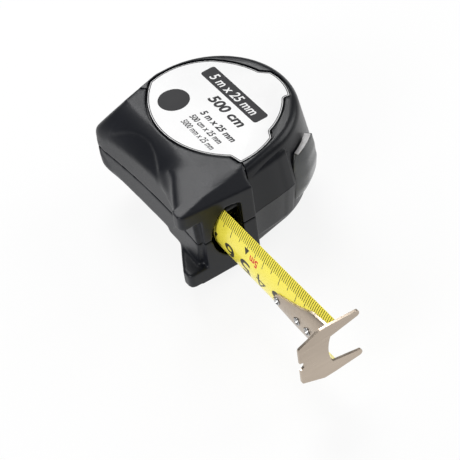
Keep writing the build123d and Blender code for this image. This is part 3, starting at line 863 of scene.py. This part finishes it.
@dataclass
class Blade:
    """The curved steel strip with its printed scale."""

    dresser: Dresser
    radius: float = 16.56 * MM
    axis_y: float = -9.44 * MM
    width: float = 25.0 * MM
    steel: float = 0.22 * MM
    tail: float = 38.0 * MM
    end: float = 107.4 * MM
    zero: float = 107.8 * MM
    ink: float = 0.02 * MM
    tick_lengths: tuple[float, float, float] = (3.7, 5.1, 6.5)
    tick_width: float = 0.28
    figure_size: tuple[float, float] = (6.0, 7.0)
    figure_at: float = -0.9
    figure_weights: tuple[float, float] = (0.016, -0.012)
    edge_gap: float = 0.1
    print_gap: float = 0.2 * MM
    pointer_at: tuple[float, float] = (50.0, 7.0)
    pointer_r: float = 1.7
    mark_at: tuple[float, float] = (45.1, 5.4)
    mark_height: float = 3.0
    mark_weight: float = 0.028

    def build(self) -> None:
        """Build the strip and its print on both faces."""
        self.dresser.piece("blade", self.strip(), Body.BLADE, Look.BLADE, "blade_strip")
        self.dresser.piece("blade_ticks", self.ticks(), Body.BLADE, Look.TICK)
        self.dresser.piece("blade_figures", self.figures(), Body.BLADE, Look.TICK)
        self.dresser.piece("blade_length", self.length_mark(), Body.BLADE, Look.RED)

    def strip(self) -> bmesh.types.BMesh:
        """Sweep the arc of the blade along its length.

        Returns:
            The closed strip.
        """
        turn = self.width / self.radius
        return Forms.channel(self.radius, self.axis_y, turn, (self.tail, self.end), self.steel, 28)

    def wrap(self, form: bmesh.types.BMesh, side: Side) -> None:
        """Bend a flat print onto a face of the blade.

        The flat mesh has the distance along the blade as X, and the distance across it, towards the label,
        as Y.

        Args:
            form: Flat mesh in the XY plane, at its place on the unrolled blade.
            side: Face that it is printed on.
        """
        low = min(v.co.y for v in form.verts)
        high = max(v.co.y for v in form.verts)
        for k in range(int(low / MM) - 1, int(high / MM) + 2):
            Forms.cut(form, (0, k * MM, 0), (0, 1, 0), clear=False)
        Forms.thicken(form, self.ink)
        base = self.radius if side is Side.OUTER else self.radius - self.steel
        for vert in form.verts:
            reach = base + side.value * vert.co.z
            angle = vert.co.y / self.radius
            vert.co = (vert.co.x, self.axis_y - reach * math.cos(angle), MID_Z + reach * math.sin(angle))
        bmesh.ops.recalc_face_normals(form, faces=form.faces)

    def ticks(self) -> bmesh.types.BMesh:
        """Print a line at each millimetre along the edge towards the label.

        Returns:
            All lines of the scale.
        """
        forms = []
        edge = self.width / 2 / MM - self.edge_gap
        for side in Side:
            for k in range(1, int((self.zero - self.tail) / MM)):
                rank = 2 if k % 10 == 0 and k != 50 else 1 if k % 5 == 0 else 0
                length = self.tick_lengths[rank]
                form = bmesh.new()
                bmesh.ops.create_grid(form, x_segments=1, y_segments=1, size=0.5)
                bmesh.ops.scale(form, vec=(self.tick_width * MM, length * MM, 1), verts=form.verts)
                at = (self.zero - k * MM, (edge - length / 2) * MM, 0)
                bmesh.ops.translate(form, vec=at, verts=form.verts)
                self.wrap(form, side)
                forms.append(form)
        return Forms.joined(forms)

    def figures(self) -> bmesh.types.BMesh:
        """Print the centimetre figures and the small pointer.

        Returns:
            All figures.
        """
        forms = []
        for side in Side:
            for number in range(1, 8):
                weight = self.figure_weights[number == 4]
                form = Forms.words(str(number), self.figure_size[1] * MM, weight)
                wide = self.figure_size[0] * MM / max(Forms.span(form), 0.5 * self.figure_size[1] * MM)
                bmesh.ops.scale(form, vec=(wide, 1, 1), verts=form.verts)
                self.set_flat(form, number * 10.0, self.figure_at, side)
                forms.append(form)
            pointer = bmesh.new()
            bmesh.ops.create_circle(pointer, cap_ends=True, segments=3, radius=self.pointer_r * MM)
            self.set_flat(pointer, *self.pointer_at, side)
            forms.append(pointer)
        return Forms.joined(forms)

    def set_flat(self, form: bmesh.types.BMesh, along: float, across: float, side: Side) -> None:
        """Turn a figure to read with the hook on its left, and print it.

        Args:
            form: Flat figure, centred on the origin.
            along: Distance from the hook in mm.
            across: Distance from the middle towards the label in mm.
            side: Face that it is printed on.
        """
        turn = Matrix.Rotation(math.pi, 4, "Z")
        if side is Side.INNER:
            turn = Matrix.Scale(-1, 4, (1, 0, 0)) @ turn
        bmesh.ops.transform(form, matrix=turn, verts=form.verts)
        bmesh.ops.translate(form, vec=(self.zero - along * MM, across * MM, 0), verts=form.verts)
        Forms.cut(form, (self.tail + self.print_gap, 0, 0), (-1, 0, 0))
        self.wrap(form, side)

    def length_mark(self) -> bmesh.types.BMesh:
        """Print the full length in red.

        Returns:
            The figures on both faces.
        """
        forms = []
        for side in Side:
            form = Forms.words("5m", self.mark_height * MM, self.mark_weight)
            self.set_flat(form, *self.mark_at, side)
            forms.append(form)
        return Forms.joined(forms)


@dataclass
class Hook:
    """End hook with its rivets."""

    dresser: Dresser
    rivet_x: tuple[float, ...] = (97.2, 91.2, 79.1)
    ease: float = 0.07 * MM
    tip: float = 76.9
    tip_corner: float = 1.1
    tip_slope: tuple[float, float] = (1.6, 0.7)
    crease: float = 18.0
    rivet_y: float = -26.86
    rivet: Profile = (
        (0, -1.7), (0.5, -1.72), (1.5, -1.6), (1.5, -1.3), (0.88, -1.24), (0.88, 0), (1.6, 0), (1.6, 0.15),
        (1.5, 0.36), (1.3, 0.46), (1.1, 0.40), (0.95, 0.1), (0.7, -0.15), (0, -0.2),
    )

    def build(self) -> None:
        """Ease the hook and turn its rivets."""
        hook = Forms.eased("hook", self.ease)
        self.trim(hook, Vector((self.tip * MM, 0, MID_Z)), Vector((-1, 0, 0)))
        for side in (1, -1):
            rise = MID_Z + side * self.tip_corner * self.tip_slope[0] * MM
            corner = Vector(((self.tip + self.tip_corner) * MM, 0, rise))
            self.trim(hook, corner, Vector((-1.0, 0, side * self.tip_slope[1])).normalized())
        self.dresser.piece("end_hook", hook, Body.HOOK, Look.HOOK, "hook", crease=self.crease)
        out = Vector((0, -1, 0))
        feet = [(x * MM, self.rivet_y * MM, MID_Z) for x in self.rivet_x]
        rivets = [Forms.turned(self.rivet, foot, out) for foot in feet]
        self.dresser.piece("rivets", Forms.joined(rivets), Body.BLADE, Look.CLIP, "hook_rivets")

    @staticmethod
    def trim(form: bmesh.types.BMesh, at: Vector, out: Vector) -> None:
        """Cut off what lies beyond a plane and close the cut.

        Args:
            form: Mesh to cut.
            at: Point on the plane in metres.
            out: Direction of the side that goes.
        """
        bmesh.ops.holes_fill(form, edges=Forms.cut(form, at, out))


@dataclass
class Lock:
    """Thumb slider with its brake."""

    dresser: Dresser
    angles: tuple[float, float] = (21.0, 46.0)
    foot: float = 34.4
    # place and size of the pale strip of painted highlight on the slider's end
    strip: tuple[float, float] = (26.5, 45.0)
    strip_low: float = 34.8
    strip_wide: tuple[float, float] = (1.6, 1.0)
    strip_z: float = 10.35
    strip_rise: float = 0.25
    voxel: float = 0.3 * MM
    rounds: tuple[int, int] = (5, 30)
    skirt: float = 1.4
    top_lean: float = 0.6
    crown_z: tuple[float, float] = (2.0, 8.6)
    crown: tuple[float, float] = (0.2, 1.4)
    crown_root: float = 2.0
    thumb: tuple[float, float] = (0.42, 0.58)
    thumb_share: float = 0.45
    draw_back: float = 5.0

    def build(self) -> None:
        """Shape the slider, paint a highlight strip on its end and dress the brake behind it."""
        pad = Forms.moulded("lock_slider", self.voxel)
        for vert in pad.verts:
            vert.co = self.crowned(vert.co)
        Forms.relax(pad, pad.verts[:], self.rounds[0])
        pad.normal_update()
        skirt = (self.foot + self.skirt) * MM
        outer = [v for v in pad.verts if v.co.xy.length > skirt and v.normal.z < self.top_lean]
        Forms.relax(pad, outer, self.rounds[1])
        self.dresser.piece("lock_pad", pad, Body.LOCK, Look.LOCK, "lock_slider")
        # painted highlight: a pale strip on the slider's end
        self.dresser.piece("lock_end", self.end_strip(), Body.LOCK, Look.PALE_LOCK)
        self.dresser.dress("brake_arm", Look.BOOT)
        self.dresser.dress("brake_shoe", Look.BOOT)

    def crowned(self, at: Vector) -> Vector:
        """Thicken the pad's end towards the label and draw its thumb edge back there.

        Args:
            at: Point of the plain pad in metres.

        Returns:
            The point on the crowned pad.
        """
        reach, turn = math.hypot(at.x, at.y) / MM, math.degrees(math.atan2(at.y, at.x))
        height = (at.z - MID_Z) / MM
        if reach < self.foot:
            return at
        far = min(max((turn - self.angles[0]) / (self.angles[1] - self.angles[0]), 0.0), 1.0)
        top = min(max((height - self.crown_z[0]) / self.crown_z[1], 0.0), 1.0)
        near = min(far / self.thumb_share, 1.0)
        root = min((reach - self.foot) / self.crown_root, 1.0)
        reach += top * top * (self.crown[0] + self.crown[1] * far) * root
        reach = self.foot + (reach - self.foot) * (self.thumb[0] + self.thumb[1] * near * (2 - near))
        turn += self.draw_back * top * top * (1 - far)
        angle = math.radians(turn)
        return Vector((reach * math.cos(angle) * MM, reach * math.sin(angle) * MM, at.z))

    def end_strip(self) -> bmesh.types.BMesh:
        """Paint a highlight on the slider's end towards the label: a pale strip that stands for the light
        its top facet catches.

        Returns:
            The thin closed strip of painted highlight.
        """
        form = bmesh.new()
        bmesh.ops.create_grid(form, x_segments=24, y_segments=1, size=0.5)
        Forms.thicken(form, 1.0)
        for vert in form.verts:
            share = vert.co.x + 0.5
            reach = self.strip_low + (vert.co.y + 0.5) * (self.strip_wide[0] + self.strip_wide[1] * share)
            reach *= MM
            angle = math.radians(self.strip[0] + (self.strip[1] - self.strip[0]) * share)
            height = MID_Z + (self.strip_z + self.strip_rise * vert.co.z) * MM
            vert.co = (reach * math.cos(angle), reach * math.sin(angle), height)
        bmesh.ops.recalc_face_normals(form, faces=form.faces)
        return form


@dataclass
class Reel:
    """Inner works, which show only through the mouth."""

    dresser: Dresser

    def build(self) -> None:
        """Dress the solids of the reel."""
        looks = {
            "spindle": Look.STEEL, "power_spring": Look.SPRING,
            "reel_drum": Look.GREY, "reel_cover": Look.GREY,
            "blade_anchor": Look.STEEL, "blade_pack": Look.BLADE,
            "reel_washers": Look.STEEL, "blade_feed": Look.BLADE,
        }
        for node, look in looks.items():
            self.dresser.dress(node, look)


@dataclass(frozen=True)
class Lamp:
    """A square lamp that faces the object: its place, power in watts and side in metres."""

    name: str
    at: Point
    power: float
    size: float


@dataclass
class Studio:
    """Floor, light and camera."""

    azimuth: float = 62.59
    elevation: float = 45.42
    roll: float = -8.90
    lens: float = 137.1
    target: Point = (39.5 * MM, -20.3 * MM, MID_Z)
    distance: float = 0.640
    floor_z: float = -0.0004
    floor_size: float = 4.0
    floor_grey: float = 0.9
    floor_white: float = 0.87
    sky: float = 0.2
    lamps: tuple[Lamp, ...] = (
        Lamp("key", (-0.42, 0.14, 0.66), 3.9, 0.40),
        Lamp("front", (0.30, -0.75, 0.45), 4.6, 0.4),
        Lamp("side", (0.15, 0.75, 0.52), 2.7, 0.5),
    )

    def build(self) -> None:
        """Build the stage."""
        self.build_floor()
        self.build_world()
        self.build_lamps()
        self.build_camera()

    def build_floor(self) -> None:
        """Lay a pale floor that keeps a soft shadow."""
        form = bmesh.new()
        bmesh.ops.create_grid(form, x_segments=2, y_segments=2, size=self.floor_size)
        bmesh.ops.translate(form, vec=(0, 0, self.floor_z), verts=form.verts)
        floor = Forms.placed("floor", form)
        shader = Shader("floor")
        shader.surface.inputs["Base Color"].default_value = (*[self.floor_grey] * 3, 1)
        shader.surface.inputs["Roughness"].default_value = 0.9
        glow = shader.add("ShaderNodeEmission")
        mix = shader.add("ShaderNodeMixShader")
        shader.link(self.seen(shader.tree, self.floor_white), mix.inputs["Fac"])
        shader.link(shader.surface.outputs["BSDF"], mix.inputs[1])
        shader.link(glow.outputs["Emission"], mix.inputs[2])
        shader.link(mix.outputs["Shader"], shader.tree.nodes["Material Output"].inputs["Surface"])
        floor.data.materials.append(shader.material)

    @staticmethod
    def seen(tree: bpy.types.NodeTree, share: float) -> bpy.types.NodeSocket:
        """Tell rays that look at the background from those that only light.

        Args:
            tree: Node tree to add to.
            share: Value for a ray that looks.

        Returns:
            The socket with the share, or 0 for a ray that only lights.
        """
        path = tree.nodes.new("ShaderNodeLightPath")
        total = path.outputs["Is Camera Ray"]
        for name in ("Is Glossy Ray", "Is Transmission Ray"):
            most = tree.nodes.new("ShaderNodeMath")
            most.operation = "MAXIMUM"
            tree.links.new(total, most.inputs[0])
            tree.links.new(path.outputs[name], most.inputs[1])
            total = most.outputs["Value"]
        scale = tree.nodes.new("ShaderNodeMath")
        scale.operation = "MULTIPLY"
        scale.inputs[1].default_value = share
        tree.links.new(total, scale.inputs[0])
        return scale.outputs["Value"]

    def build_world(self) -> None:
        """Fill the room with even light."""
        world = bpy.data.worlds.new("room")
        bpy.context.scene.world = world
        world.use_nodes = True
        sky = world.node_tree.nodes["Background"].inputs
        sky["Color"].default_value = (1, 1, 1, 1)
        sky["Strength"].default_value = self.sky

    def build_lamps(self) -> None:
        """Hang the soft lamps."""
        for lamp in self.lamps:
            light = bpy.data.lights.new(lamp.name, "AREA")
            light.energy = lamp.power
            light.size = lamp.size
            hung = bpy.data.objects.new(lamp.name, light)
            hung.location = lamp.at
            toward = Vector(lamp.at) - Vector(self.target)
            hung.rotation_euler = toward.to_track_quat("Z", "Y").to_euler()
            bpy.context.scene.collection.objects.link(hung)

    def build_camera(self) -> None:
        """Set the camera at the photograph's angle, with its lean."""
        scene = bpy.context.scene
        lens = bpy.data.cameras.new("camera")
        lens.sensor_width = 36.0
        lens.lens = self.lens
        lens.clip_start = 0.01
        lens.clip_end = 20.0
        camera = bpy.data.objects.new("camera", lens)
        scene.collection.objects.link(camera)
        a, e, r = (math.radians(x) for x in (self.azimuth, self.elevation, self.roll))
        back = Vector((math.sin(a) * math.cos(e), -math.cos(a) * math.cos(e), math.sin(e)))
        flat = Vector((math.cos(a), math.sin(a), 0))
        rise = back.cross(flat)
        right = math.cos(r) * flat + math.sin(r) * rise
        up = -math.sin(r) * flat + math.cos(r) * rise
        turn = Matrix((right, up, back)).transposed().to_4x4()
        camera.matrix_world = Matrix.Translation(Vector(self.target) + self.distance * back) @ turn
        scene.camera = camera
        scene.view_settings.view_transform = "Standard"


def main() -> None:
    """Build every sub-assembly, then the stage."""
    logging.basicConfig(level=logging.INFO, format="%(name)s: %(message)s")
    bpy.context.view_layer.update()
    dresser = Dresser()
    for assembly in (Case(dresser), Blade(dresser), Hook(dresser), Lock(dresser), Reel(dresser), Studio()):
        assembly.build()


if __name__ == "__main__":
    main()
